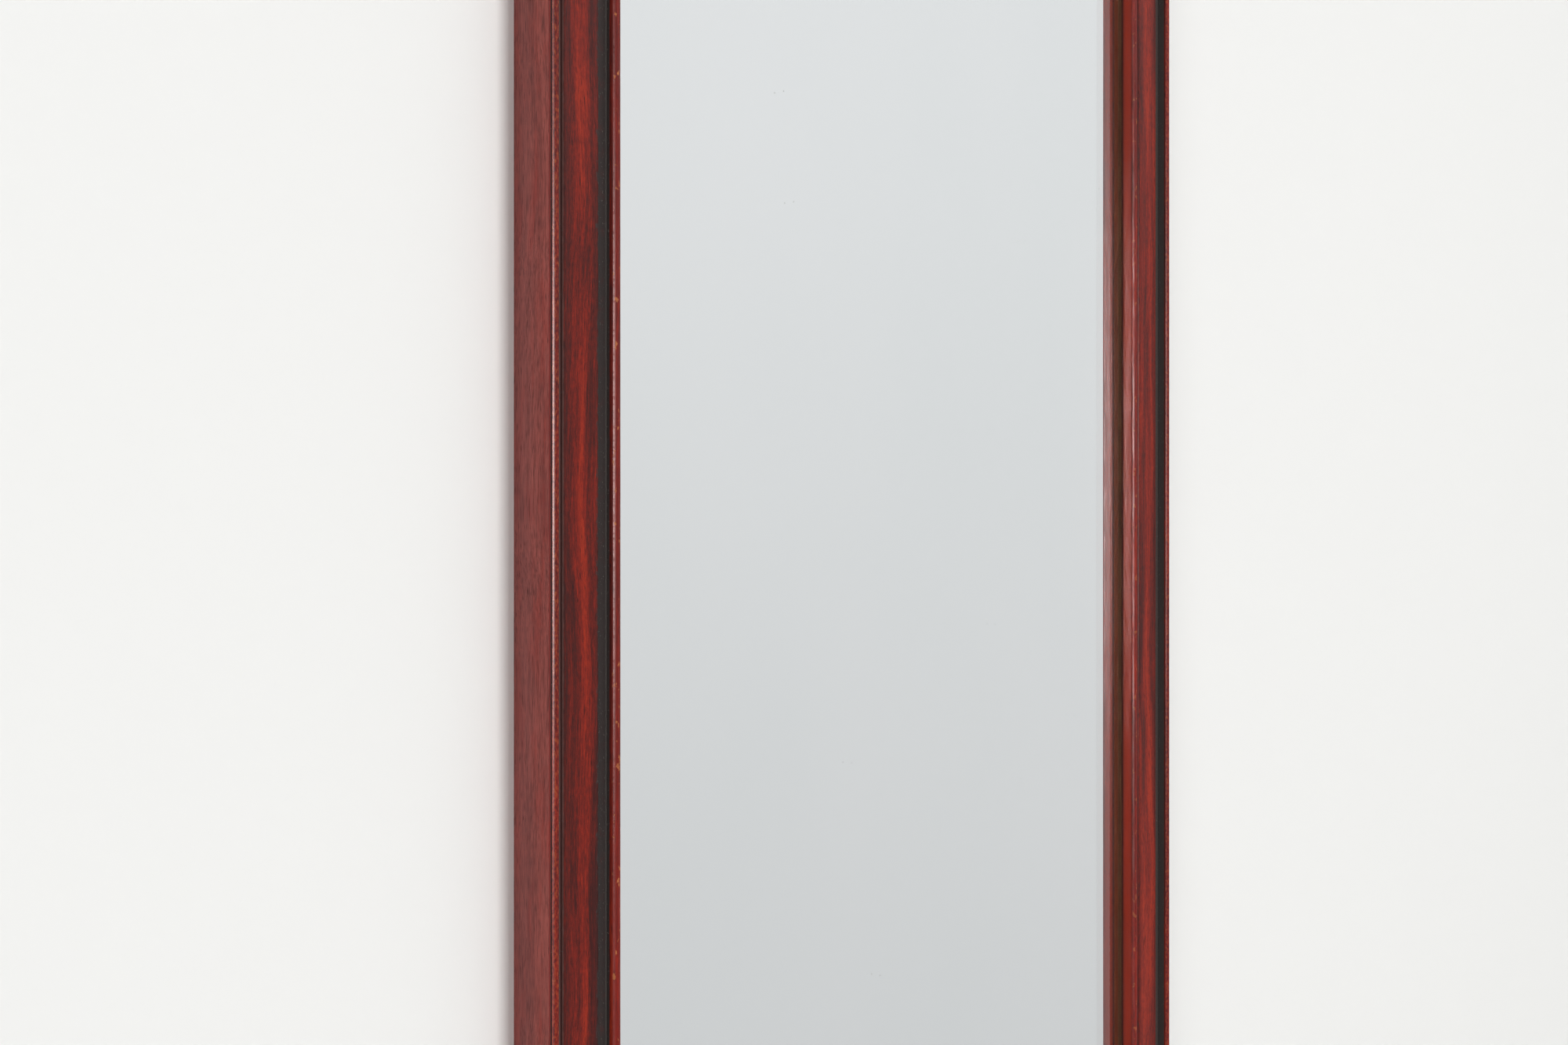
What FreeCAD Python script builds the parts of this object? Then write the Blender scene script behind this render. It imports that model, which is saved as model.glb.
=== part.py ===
import FreeCAD, Part
import math
import os

# Wall mirror: a mitred, moulded wooden frame round a mirror glass, hung flush on two keyhole plates.
# X runs to the right, Z runs up and the front faces -Y. The back lies on the wall plane, y = 0, and
# the origin is midway between the entry holes of the two plates. Lengths are in millimetres.

# Opening through which the mirror shows
sight_width = 296.2
sight_height = 943.2

# Widths across the moulding, from the outer side to the opening
outer_bead_radius = 1.4
outer_quirk_width = 3.6
band_width = 14.6
band_edge_radius = 1.0
inner_quirk_width = 3.8
inner_bead_radius = 1.8
side_quirk_depth = 0.5  # the fine groove between the outer side and the outer bead

# Heights of the moulding
lip_thickness = 2.7  # wood between the glass and the floor of the inner quirk
inner_quirk_depth = 1.3  # both quirks are measured down from the band
outer_quirk_depth = 1.1
outer_bead_rise = 1.7  # both bead centres are measured up from the band
inner_bead_rise = 0.4
side_quirk_height = 0.4

# Rebate and the layers in it
rebate_width = 7.0
glass_thickness = 4.0
coat_thickness = 0.1
interleaf_thickness = 0.3
board_thickness = 3.0
edge_clearance = 1.5  # from the glass to the rebate wall, filled by the blocks and packers
board_clearance = 1.0

# Setting blocks under the glass and packers beside it
block_length = 30.0
block_place_share = 0.25
packer_length = 20.0
packer_place_shares = (0.12, 0.5, 0.88)

# Brads that hold the board
pin_radius = 0.6
pin_length = 16.0
pin_grip = 9.0  # length driven into the wood
pin_tip_length = 1.6
pin_head_radius = 0.9
pin_head_thickness = 0.5
pin_back_clearance = 0.5  # from the pin heads to the wall
lower_pin_count = 5  # on each stile, below its plate
rail_pin_count = 2

# Corrugated fasteners across the mitres
strip_thickness = 0.8
strip_depth = 8.0
half_wave_count = 6
half_wave_length = 3.4
wave_height = 1.2

# Keyhole plates and the pockets behind them
hanger_drop = 150.0  # from the top of the frame to the entry holes
plate_length = 46.0
plate_width = 16.0
plate_thickness = 1.5
plate_clearance = 0.15
entry_hole_radius = 4.75
slot_width = 5.0
slot_travel = 9.0
pocket_clearance = 0.6
pocket_depth = 6.0

# Screws of the plates
screw_radius = 1.4
screw_length = 10.0
screw_tip_length = 3.0
screw_head_radius = 2.8
screw_hole_clearance = 0.2
screw_slot_width = 0.7
screw_slot_depth = 0.7

# Every cut runs past the surface by this much
overrun = 1.0

# Overall sizes
beads_width = 2 * (outer_bead_radius + inner_bead_radius)
member_width = beads_width + outer_quirk_width + band_width + inner_quirk_width
back_width = member_width - rebate_width
overall_width = sight_width + 2 * member_width
overall_height = sight_height + 2 * member_width
middle_height = hanger_drop - overall_height / 2

# Heights above the wall
pin_recess = 2 * pin_head_radius + pin_back_clearance
board_front = pin_recess + board_thickness
interleaf_front = board_front + interleaf_thickness
coat_front = interleaf_front + coat_thickness
glass_front = coat_front + glass_thickness
inner_floor = glass_front + lip_thickness
band_top = inner_floor + inner_quirk_depth
outer_floor = band_top - outer_quirk_depth
outer_bead_centre = band_top + outer_bead_rise
inner_bead_centre = band_top + inner_bead_rise
overall_depth = outer_bead_centre + outer_bead_radius

# Space inside the rebate walls
rebate_half_width = overall_width / 2 - back_width
rebate_half_height = overall_height / 2 - back_width
glass_half_width = rebate_half_width - edge_clearance
glass_half_height = rebate_half_height - edge_clearance
board_half_width = rebate_half_width - board_clearance
board_half_height = rebate_half_height - board_clearance

# Each member is the left stile turned about the Y axis by this angle
turns = {"left": 0, "top": 90, "right": 180, "bottom": 270}
corner_sides = {"left": -1, "right": 1, "bottom": -1, "top": 1}
mitre_angle = 45

y_axis = FreeCAD.Vector(0, 1, 0)
into_wood = FreeCAD.Vector(0, -1, 0)


def vector(x, y, z):
    return FreeCAD.Vector(x, y, z)


def line(start, end):
    return Part.makeLine(vector(*start), vector(*end))


def arc(start, through, end):
    return Part.Arc(vector(*start), vector(*through), vector(*end)).toShape()


def slab(half_width, half_height, back, front):
    """A flat sheet centred on the frame, between two heights above the wall."""
    corner = vector(-half_width, -front, middle_height - half_height)
    return Part.makeBox(2 * half_width, front - back, 2 * half_height, corner)


def turned(shape, side):
    """A copy of a piece made for the left stile, turned to the place of another member."""
    copy = shape.copy()
    copy.rotate(vector(0, 0, 0), y_axis, turns[side])
    copy.translate(vector(0, 0, middle_height))
    return copy


def moulding_section():
    """The section of a member: x inward from the outer side, y = 0 on the wall."""
    quirk_start = 2 * outer_bead_radius
    band_start = quirk_start + outer_quirk_width
    band_end = band_start + band_width
    bead_start = band_end + inner_quirk_width
    slack = band_edge_radius * (1 - math.sqrt(0.5))
    shoulder = band_top - band_edge_radius
    groove_top = outer_bead_centre + side_quirk_height
    groove_bottom = (side_quirk_depth, -outer_bead_centre - side_quirk_height / 2, 0)
    bead_setback = outer_bead_radius - math.sqrt(outer_bead_radius ** 2 - side_quirk_height ** 2)
    outline = [
        line((0, 0, 0), (0, -outer_bead_centre, 0)),
        line((0, -outer_bead_centre, 0), groove_bottom),
        line(groove_bottom, (bead_setback, -groove_top, 0)),
        arc(
            (bead_setback, -groove_top, 0),
            (outer_bead_radius, -outer_bead_centre - outer_bead_radius, 0),
            (quirk_start, -outer_bead_centre, 0),
        ),
        line((quirk_start, -outer_bead_centre, 0), (quirk_start, -outer_floor, 0)),
        line((quirk_start, -outer_floor, 0), (band_start, -outer_floor, 0)),
        line((band_start, -outer_floor, 0), (band_start, -shoulder, 0)),
        arc(
            (band_start, -shoulder, 0),
            (band_start + slack, slack - band_top, 0),
            (band_start + band_edge_radius, -band_top, 0),
        ),
        line((band_start + band_edge_radius, -band_top, 0), (band_end - band_edge_radius, -band_top, 0)),
        arc(
            (band_end - band_edge_radius, -band_top, 0),
            (band_end - slack, slack - band_top, 0),
            (band_end, -shoulder, 0),
        ),
        line((band_end, -shoulder, 0), (band_end, -inner_floor, 0)),
        line((band_end, -inner_floor, 0), (bead_start, -inner_floor, 0)),
        line((bead_start, -inner_floor, 0), (bead_start, -inner_bead_centre, 0)),
        arc(
            (bead_start, -inner_bead_centre, 0),
            (bead_start + inner_bead_radius, -inner_bead_centre - inner_bead_radius, 0),
            (member_width, -inner_bead_centre, 0),
        ),
        line((member_width, -inner_bead_centre, 0), (member_width, -glass_front, 0)),
        line((member_width, -glass_front, 0), (back_width, -glass_front, 0)),
        line((back_width, -glass_front, 0), (back_width, 0, 0)),
        line((back_width, 0, 0), (0, 0, 0)),
    ]
    return Part.Face(Part.Wire(outline))


def frame_member(side):
    """One moulded member, mitred at both ends."""
    upright = side in ("left", "right")
    half_length = (overall_height if upright else overall_width) / 2
    outer = -(overall_width if upright else overall_height) / 2
    bar = moulding_section().extrude(vector(0, 0, 2 * half_length))
    bar.translate(vector(outer, 0, -half_length))
    inner = outer + member_width
    inner_half = half_length - member_width
    mitres = Part.makePolygon(
        [
            vector(outer, overrun, -half_length),
            vector(outer, overrun, half_length),
            vector(inner, overrun, inner_half),
            vector(inner, overrun, -inner_half),
            vector(outer, overrun, -half_length),
        ]
    )
    wedge = Part.Face(mitres).extrude(into_wood * (overall_depth + 2 * overrun))
    return turned(bar.common(wedge), side)


def corner_fastener(rail_side, stile_side):
    """A corrugated strip across one mitre, flush with the back."""
    rise = strip_thickness / 2
    bend = (half_wave_length ** 2 / 4 + wave_height ** 2) / (2 * wave_height)
    lean = half_wave_length / (2 * bend)
    upright = math.sqrt(1 - lean ** 2)
    start = -half_wave_count * half_wave_length / 2

    def joint(index, offset):
        sign = 1 if index % 2 == 0 else -1
        along = start + index * half_wave_length - sign * offset * lean
        return (along, 0, offset * upright)

    def crest(index, offset):
        sign = 1 if index % 2 == 0 else -1
        return (start + (2 * index + 1) * half_wave_length / 2, 0, sign * wave_height + offset)

    waves = range(half_wave_count)
    upper = [arc(joint(i, rise), crest(i, rise), joint(i + 1, rise)) for i in waves]
    lower = [arc(joint(i, -rise), crest(i, -rise), joint(i + 1, -rise)) for i in waves]
    first_end = line(joint(0, -rise), joint(0, rise))
    last_end = line(joint(half_wave_count, rise), joint(half_wave_count, -rise))
    outline = Part.Wire([first_end] + upper + [last_end] + lower[::-1])
    strip = Part.Face(outline).extrude(into_wood * strip_depth)
    across = corner_sides[stile_side]
    up = corner_sides[rail_side]
    strip.rotate(vector(0, 0, 0), y_axis, mitre_angle * across * up)
    from_centre = vector(across * overall_width / 2, 0, up * overall_height / 2)
    inward = vector(-across * back_width / 2, 0, middle_height - up * back_width / 2)
    strip.translate(from_centre + inward)
    return strip


def brad(side, along):
    """A brad driven into a rebate wall, with its head resting on the board."""
    x_axis = vector(1, 0, 0)
    free = pin_length - pin_grip
    shank_length = pin_length - pin_tip_length - pin_head_thickness
    tip = Part.makeCone(0, pin_radius, pin_tip_length, vector(-pin_grip, 0, 0), x_axis)
    shank = Part.makeCylinder(pin_radius, shank_length, vector(pin_tip_length - pin_grip, 0, 0), x_axis)
    head_place = vector(free - pin_head_thickness, 0, 0)
    head = Part.makeCylinder(pin_head_radius, pin_head_thickness, head_place, x_axis)
    pin = shank.fuse([tip, head]).removeSplitter()
    wall = rebate_half_width if side in ("left", "right") else rebate_half_height
    pin.translate(vector(-wall, pin_head_radius - pin_recess, along))
    return turned(pin, side)


def spread(start, end, count):
    """Places evenly spaced between two ends, half a step from each."""
    return [start + (end - start) * (2 * i + 1) / (2 * count) for i in range(count)]


def brads():
    plate_middle = slot_travel / 2
    plate_top = plate_middle + plate_length / 2 - middle_height
    plate_bottom = plate_middle - plate_length / 2 - middle_height
    upper = (plate_top + board_half_height) / 2
    stile_places = [upper] + spread(plate_bottom, -board_half_height, lower_pin_count)
    rail_places = spread(-board_half_width, board_half_width, rail_pin_count)
    pins = {"top": [brad("top", x) for x in rail_places]}
    pins["bottom"] = [brad("bottom", x) for x in rail_places]
    pins["left"] = [brad("left", z) for z in stile_places]
    pins["right"] = [brad("right", -z) for z in stile_places]
    return pins


def upright_slot(x, radius, low, high, back, front):
    """An upright slot-shaped prism with round ends, between two heights above the wall."""
    outline = [
        arc((x + radius, -back, high), (x, -back, high + radius), (x - radius, -back, high)),
        line((x - radius, -back, high), (x - radius, -back, low)),
        arc((x - radius, -back, low), (x, -back, low - radius), (x + radius, -back, low)),
        line((x + radius, -back, low), (x + radius, -back, high)),
    ]
    return Part.Face(Part.Wire(outline)).extrude(into_wood * (front - back))


def plate_screw_places(x):
    reach = (plate_length - plate_width) / 2
    return [(x, slot_travel / 2 - reach), (x, slot_travel / 2 + reach)]


def screw_body(x, z):
    """A countersunk screw without its driving slot."""
    head_height = screw_head_radius - screw_radius
    shank_length = screw_length - head_height - screw_tip_length
    head = Part.makeCone(screw_head_radius, screw_radius, head_height, vector(x, 0, z), into_wood)
    shank = Part.makeCylinder(screw_radius, shank_length, vector(x, -head_height, z), into_wood)
    tip_place = vector(x, screw_tip_length - screw_length, z)
    tip = Part.makeCone(screw_radius, 0, screw_tip_length, tip_place, into_wood)
    return head.fuse([shank, tip]).removeSplitter()


def plate_screw(x, z):
    corner = vector(x - screw_head_radius - overrun, -screw_slot_depth, z - screw_slot_width / 2)
    across = 2 * (screw_head_radius + overrun)
    slot = Part.makeBox(across, screw_slot_depth + overrun, screw_slot_width, corner)
    return screw_body(x, z).cut(slot)


def keyhole_plate(x):
    """A plate with round ends, a keyhole that opens downwards and two countersunk holes."""
    middle = slot_travel / 2
    reach = (plate_length - plate_width) / 2
    plate = upright_slot(x, plate_width / 2, middle - reach, middle + reach, 0, plate_thickness)
    through = plate_thickness + 2 * overrun
    entry = Part.makeCylinder(entry_hole_radius, through, vector(x, overrun, 0), into_wood)
    slot = upright_slot(x, slot_width / 2, 0, slot_travel, -overrun, plate_thickness + overrun)
    cuts = [entry, slot]
    for hole_x, hole_z in plate_screw_places(x):
        place = vector(hole_x, overrun, hole_z)
        cuts.append(screw_body(hole_x, hole_z))
        cuts.append(Part.makeCylinder(screw_radius + screw_hole_clearance, through, place, into_wood))
    return plate.cut(cuts)


def plate_pocket(x):
    """The shallow seat of a plate and the deeper pocket in which the head of a wall screw slides."""
    middle = slot_travel / 2
    reach = (plate_length - plate_width) / 2
    seat_radius = plate_width / 2 + plate_clearance
    seat = upright_slot(x, seat_radius, middle - reach, middle + reach, -overrun, plate_thickness)
    pocket_radius = entry_hole_radius + pocket_clearance
    pocket = upright_slot(x, pocket_radius, 0, slot_travel, -overrun, plate_thickness + pocket_depth)
    return [seat, pocket]


def setting_blocks():
    """Two blocks on the wall of the bottom rebate that carry the glass."""
    base = middle_height - rebate_half_height
    blocks = []
    for sign in (-1, 1):
        x = sign * 2 * glass_half_width * block_place_share - block_length / 2
        corner = vector(x, -glass_front, base)
        blocks.append(Part.makeBox(block_length, glass_thickness, edge_clearance, corner))
    return blocks


def edge_packers():
    """Packers that keep the glass central between the stiles."""
    packers = []
    for x in (-rebate_half_width, glass_half_width):
        for share in packer_place_shares:
            z = middle_height - glass_half_height + 2 * glass_half_height * share - packer_length / 2
            corner = vector(x, -glass_front, z)
            packers.append(Part.makeBox(edge_clearance, glass_thickness, packer_length, corner))
    return packers


hanger_reach = overall_width / 2 - back_width / 2
hangers = {"left": -hanger_reach, "right": hanger_reach}
pins = brads()
nodes = {}
cuts = {side: list(pins[side]) for side in turns}

for rail_side in ("top", "bottom"):
    for stile_side in ("left", "right"):
        fastener = corner_fastener(rail_side, stile_side)
        nodes[f"corner_fastener_{rail_side}_{stile_side}"] = fastener
        cuts[rail_side].append(fastener)
        cuts[stile_side].append(fastener)

for side, x in hangers.items():
    places = plate_screw_places(x)
    nodes[f"{side}_keyhole_plate"] = keyhole_plate(x)
    nodes[f"{side}_plate_screws"] = Part.makeCompound([plate_screw(*place) for place in places])
    cuts[side] += plate_pocket(x) + [screw_body(*place) for place in places]

for side in turns:
    kind = "stile" if side in hangers else "rail"
    nodes[f"{side}_{kind}"] = frame_member(side).cut(cuts[side])

nodes["mirror_glass"] = slab(glass_half_width, glass_half_height, coat_front, glass_front)
nodes["silver_coat"] = slab(glass_half_width, glass_half_height, interleaf_front, coat_front)
nodes["interleaf_sheet"] = slab(glass_half_width, glass_half_height, board_front, interleaf_front)
nodes["backing_board"] = slab(board_half_width, board_half_height, pin_recess, board_front)
nodes["setting_blocks"] = Part.makeCompound(setting_blocks())
nodes["edge_packers"] = Part.makeCompound(edge_packers())
nodes["board_pins"] = Part.makeCompound([pin for side in turns for pin in pins[side]])

os.makedirs("parts", exist_ok=True)
for name, shape in nodes.items():
    shape.exportStep(f"parts/{name}.step")
    print(f"{name}: {len(shape.Solids)} solid(s), {shape.Volume:.0f} mm3, valid {shape.isValid()}")
print(f"overall {overall_width:.1f} x {overall_height:.1f} x {overall_depth:.1f} mm")
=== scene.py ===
import math
import bmesh
import bpy
import numpy as np
from mathutils import Matrix, Vector


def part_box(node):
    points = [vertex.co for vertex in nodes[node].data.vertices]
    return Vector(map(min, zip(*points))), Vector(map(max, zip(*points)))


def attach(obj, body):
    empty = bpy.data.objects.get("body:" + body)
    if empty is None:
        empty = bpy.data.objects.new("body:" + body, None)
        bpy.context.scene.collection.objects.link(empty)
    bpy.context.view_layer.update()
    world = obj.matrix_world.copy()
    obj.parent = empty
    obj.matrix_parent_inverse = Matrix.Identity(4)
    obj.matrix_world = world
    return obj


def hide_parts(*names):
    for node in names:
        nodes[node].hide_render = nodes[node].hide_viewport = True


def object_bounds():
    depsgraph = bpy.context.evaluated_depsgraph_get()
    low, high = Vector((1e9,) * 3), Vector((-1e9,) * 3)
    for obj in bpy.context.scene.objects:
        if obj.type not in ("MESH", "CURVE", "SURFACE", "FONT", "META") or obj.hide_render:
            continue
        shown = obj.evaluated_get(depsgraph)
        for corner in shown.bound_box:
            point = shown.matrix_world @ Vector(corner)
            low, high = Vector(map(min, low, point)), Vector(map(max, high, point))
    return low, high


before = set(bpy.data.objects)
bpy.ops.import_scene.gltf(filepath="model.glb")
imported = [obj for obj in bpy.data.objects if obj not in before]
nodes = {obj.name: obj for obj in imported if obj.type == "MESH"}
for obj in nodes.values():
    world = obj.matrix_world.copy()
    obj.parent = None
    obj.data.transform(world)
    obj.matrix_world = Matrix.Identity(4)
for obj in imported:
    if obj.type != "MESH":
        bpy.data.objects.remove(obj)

from types import SimpleNamespace

cadBox = [list(corner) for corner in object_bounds()]
print("frame loaded with", len(nodes), "nodes")


# shader and geometry nodes

class Val:  # one socket, so that sums on values read as sums
    def __init__(self, tree, socket):
        self.tree = tree
        self.socket = socket

    def sum(self, operation, first, second):
        node = self.tree.nodes.new("ShaderNodeMath")
        node.operation = operation
        plug(self.tree, node.inputs[0], first)
        plug(self.tree, node.inputs[1], second)
        return Val(self.tree, node.outputs[0])

    def __add__(self, other):
        return self.sum("ADD", self, other)

    def __radd__(self, other):
        return self.sum("ADD", other, self)

    def __sub__(self, other):
        return self.sum("SUBTRACT", self, other)

    def __rsub__(self, other):
        return self.sum("SUBTRACT", other, self)

    def __mul__(self, other):
        return self.sum("MULTIPLY", self, other)

    def __rmul__(self, other):
        return self.sum("MULTIPLY", other, self)

    def __truediv__(self, other):
        return self.sum("DIVIDE", self, other)

    def __rtruediv__(self, other):
        return self.sum("DIVIDE", other, self)

    def __gt__(self, other):
        return self.sum("GREATER_THAN", self, other)

    def __lt__(self, other):
        return self.sum("LESS_THAN", self, other)

    def most(self, other):
        return self.sum("MAXIMUM", self, other)

    def size(self):
        return self.sum("ABSOLUTE", self, 0)

    def wave(self):
        return self.sum("SINE", self, 0)


def plug(tree, socket, value):
    if isinstance(value, Val):
        tree.links.new(value.socket, socket)
    else:
        socket.default_value = value


def pick(sockets, name):
    for socket in sockets:
        if name in (socket.identifier, socket.name):
            return socket
    return sockets[name]


class Nodes:  # any node tree, filled through one method
    def __init__(self, tree):
        self.tree = tree

    def add(self, kind, settings={}, values={}, out=0):
        node = self.tree.nodes.new(kind)
        for name, value in settings.items():
            if name == "stops":
                self.setStops(node.color_ramp, value)
            else:
                setattr(node, name, value)
        for name, value in values.items():
            plug(self.tree, pick(node.inputs, name), value)
        if isinstance(out, tuple):
            return [Val(self.tree, pick(node.outputs, name)) for name in out]
        return Val(self.tree, pick(node.outputs, out)) if len(node.outputs) else node

    def setStops(self, ramp, stops):
        while len(ramp.elements) < len(stops):
            ramp.elements.new(0.5)
        for element, (place, colour) in zip(ramp.elements, stops):
            element.position = place
            element.color = colour

    def split(self, vector):
        return self.add("ShaderNodeSeparateXYZ", {}, {"Vector": vector}, ("X", "Y", "Z"))

    def join(self, x, y, z):
        return self.add("ShaderNodeCombineXYZ", {}, {"X": x, "Y": y, "Z": z})

    def ease(self, value, low, high):  # 0 below low, 1 above high, soft between
        return self.add("ShaderNodeMapRange", {"interpolation_type": "SMOOTHSTEP"},
                        {"Value": value, "From Min": low, "From Max": high})

    def noise(self, vector, detail=2.0, seed=0.0, rough=0.5):
        return self.add("ShaderNodeTexNoise", {"noise_dimensions": "4D"},
                        {"Vector": vector, "W": seed, "Scale": 1.0, "Detail": detail, "Roughness": rough})

    def blend(self, share, first, second):
        return self.add("ShaderNodeMix", {"data_type": "RGBA"},
                        {"Factor_Float": share, "A_Color": first, "B_Color": second}, "Result_Color")

    def scaled(self, vector, scale):
        return self.add("ShaderNodeVectorMath", {"operation": "MULTIPLY"}, {0: vector, 1: scale})


def colour(red, green, blue):  # from the 0 to 255 of a picture to Blender's linear values
    linear = [c / 255 / 12.92 if c <= 10 else ((c / 255 + 0.055) / 1.055) ** 2.4 for c in (red, green, blue)]
    return (*linear, 1.0)


def newFinish(name):
    material = bpy.data.materials.new(name)
    material.use_nodes = True
    material.node_tree.nodes.clear()
    return material, Nodes(material.node_tree)


def surface(n, shader):
    n.add("ShaderNodeOutputMaterial", {}, {"Surface": shader})


# meshes and objects

samePoint = 1e-6  # points nearer than this are one


def toMesh(name, work):  # ends a bmesh as a mesh of its own
    mesh = bpy.data.meshes.new(name)
    work.to_mesh(mesh)
    work.free()
    return mesh


def putInScene(name, data):
    item = bpy.data.objects.new(name, data)
    bpy.context.scene.collection.objects.link(item)
    return item


# finishes of the frame

woodLook = {
    "deep": colour(64, 24, 22),
    "dark": colour(92, 27, 21),
    "red": colour(124, 32, 22),
    "bright": colour(156, 45, 24),
    "pore": colour(38, 16, 15),
    "lip": colour(152, 43, 19),
    "bead": colour(158, 36, 30),
    "sideLine": colour(120, 24, 22),  # darker red along the top of the side, just under the bead
    "black": colour(57, 51, 50),
    # painted light: the next two glaze colours are lightened for the outer quirk, standing in for light that
    # the bead shades off
    "outerGlazeAndPaintedLight": colour(70, 63, 61),
    "quirkPaintedLight": colour(122, 84, 79),
    "veil": colour(48, 26, 24),
    "outerVeil": colour(66, 42, 40),
    "dust": colour(120, 114, 110),
    "worn": colour(158, 82, 44),
    "chip": colour(178, 106, 66),
    "grimeAndShade": colour(34, 20, 15),
    "hazeDark": colour(108, 50, 46),  # varnish haze on the sides
    "hazeLight": colour(166, 88, 80),
    "hazeRed": colour(150, 52, 44),  # where it is thin
    "hazeGrey": colour(138, 92, 90),  # and the dust on it by the wall
}

section = {  # moulding, in metres from the outer side and from the wall
    "outerBead": 0.0014,
    "outerQuirk": 0.0036,
    "band": 0.0146,
    "bandEdge": 0.001,
    "innerQuirk": 0.0038,
    "innerBead": 0.0018,
    "sideQuirkDepth": 0.0005,
    "sideQuirkHeight": 0.0004,
    "rebate": 0.007,
    "lip": 0.0027,
    "innerQuirkDepth": 0.0013,
    "outerQuirkDepth": 0.0011,
    "outerBeadRise": 0.0017,
    "innerBeadRise": 0.0004,
}
glassFront = -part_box("mirror_glass")[0][1]
quirkStart = 2 * section["outerBead"]
bandStart = quirkStart + section["outerQuirk"]
bandEnd = bandStart + section["band"]
beadStart = bandEnd + section["innerQuirk"]
memberWidth = beadStart + 2 * section["innerBead"]
backWidth = memberWidth - section["rebate"]
innerFloor = glassFront + section["lip"]
bandTop = innerFloor + section["innerQuirkDepth"]
outerFloor = bandTop - section["outerQuirkDepth"]
outerBeadCentre = bandTop + section["outerBeadRise"]
innerBeadCentre = bandTop + section["innerBeadRise"]
zones = {  # where the zones of the moulding start, across it and above the wall
    "quirk": quirkStart,
    "band": bandStart,
    "bandEnd": bandEnd,
    "bead": beadStart,
    "back": backWidth,
    "width": memberWidth,
    "glass": glassFront,
    "innerFloor": innerFloor,
    "bandTop": bandTop,
    "outerBead": outerBeadCentre,
    "innerBead": innerBeadCentre,
}
mm = {name: size * 1000 for name, size in zones.items()}  # the same in millimetres, for the shaders


def readWood(n):  # where a point of the wood lies, in millimetres, and the figure there
    raw = n.add("ShaderNodeAttribute", {"attribute_name": "grain"}, {}, "Vector")
    across, height, along = n.split(n.scaled(raw, (1000, 1000, 1000)))
    lean = (n.noise(n.join(0, 0, along * 0.011), 1.5, 3.1) - 0.5) * 11
    here = n.join(across + lean, height + lean * 0.7, along)
    return SimpleNamespace(
        across=across, height=height, along=along,
        broad=n.noise(n.scaled(here, (0.21, 0.21, 0.009)), 2.0, 1.0),
        streak=n.noise(n.scaled(here, (1.2, 1.2, 0.03)), 3.0, 2.0, 0.65),
        fibre=n.noise(n.scaled(here, (5.2, 5.2, 0.2)), 2.0, 4.0, 0.7),
        pores=n.ease(n.noise(n.scaled(here, (4.6, 4.6, 0.17)), 1.0, 5.0), 0.58, 0.66),
    )


def markZones(n, w):  # the parts of the moulding that differ in finish
    across, height = w.across, w.height
    w.onSide = (across < 0.3) * (height < mm["outerBead"])
    w.onBand = (across > mm["band"] - 0.1) * (across < mm["bandEnd"] + 0.1)
    w.outerBead = (across < mm["quirk"]) * n.ease(height, mm["outerBead"] + 0.38, mm["outerBead"] + 0.48)
    w.innerBead = (across > mm["bead"] - 0.01) * n.ease(height, mm["innerBead"] - 0.3, mm["innerBead"] + 0.3)
    w.lip = (across > mm["width"] - 0.25) * (height > mm["glass"] + 0.02)
    w.left = n.add("ShaderNodeAttribute", {"attribute_name": "glaze"}, {}, "Fac")
    w.rubbed = n.noise(n.join(across * 1.6, height * 1.6, w.along * 0.8), 3.0, 7.0, 0.65)


def stainColour(n, w):  # a bright streak along the band, varnish haze on the side
    across, height, along, onSide, onBand = w.across, w.height, w.along, w.onSide, w.onBand
    tone = (w.broad - 0.5) * (1.3 - onSide * 0.9) + (w.streak - 0.5) * (1.0 - onSide * 0.3)
    tone = tone + (w.fibre - 0.5) * 0.9
    lean = (n.noise(n.join(0, 0, along * 0.02), 2.0, 37.0) - 0.5) * 11
    streakPlace = mm["band"] * 0.55 + mm["bandEnd"] * 0.45
    middle = 1 - n.ease((across - streakPlace + lean * 0.25).size(), 0.3, 5.2)
    tone = tone + 0.47 + (middle * 0.26 - 0.08) * w.left * 1.4 * onBand
    tone = tone + (0.55 - w.left) * 0.36 * onBand + n.ease(height, 5.0, 15.0) * onSide * 0.06
    mottle = n.noise(n.join(across * 1.1, height * 1.1, along * 0.55), 4.0, 29.0, 0.75)
    tone = tone + (mottle - 0.5) * 0.8 * onBand
    stain = n.add("ShaderNodeValToRGB", {"stops": [
        (0.15, woodLook["deep"]), (0.4, woodLook["dark"]), (0.62, woodLook["red"]), (0.9, woodLook["bright"]),
    ]}, {"Fac": tone})
    haze = n.blend(n.ease(tone, 0.22, 0.78), woodLook["hazeDark"], woodLook["hazeLight"])
    clearer = n.noise(n.join(0, height * 0.28, along * 0.035), 4.0, 31.0, 0.6)
    haze = n.blend(n.ease(clearer, 0.48, 0.66) * 0.5, haze, woodLook["hazeRed"])
    stain = n.blend(onSide * 0.8, stain, haze)
    stain = n.blend(onSide * (1 - n.ease(height, 3.0, 11.0)) * 0.3, stain, woodLook["hazeGrey"])
    sideLine = onSide * n.ease(height, mm["outerBead"] - 0.9, mm["outerBead"] - 0.4)
    stain = n.blend(sideLine * 0.8, stain, woodLook["sideLine"])
    return n.blend(w.pores * (0.7 - onSide * 0.15), stain, woodLook["pore"])


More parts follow.
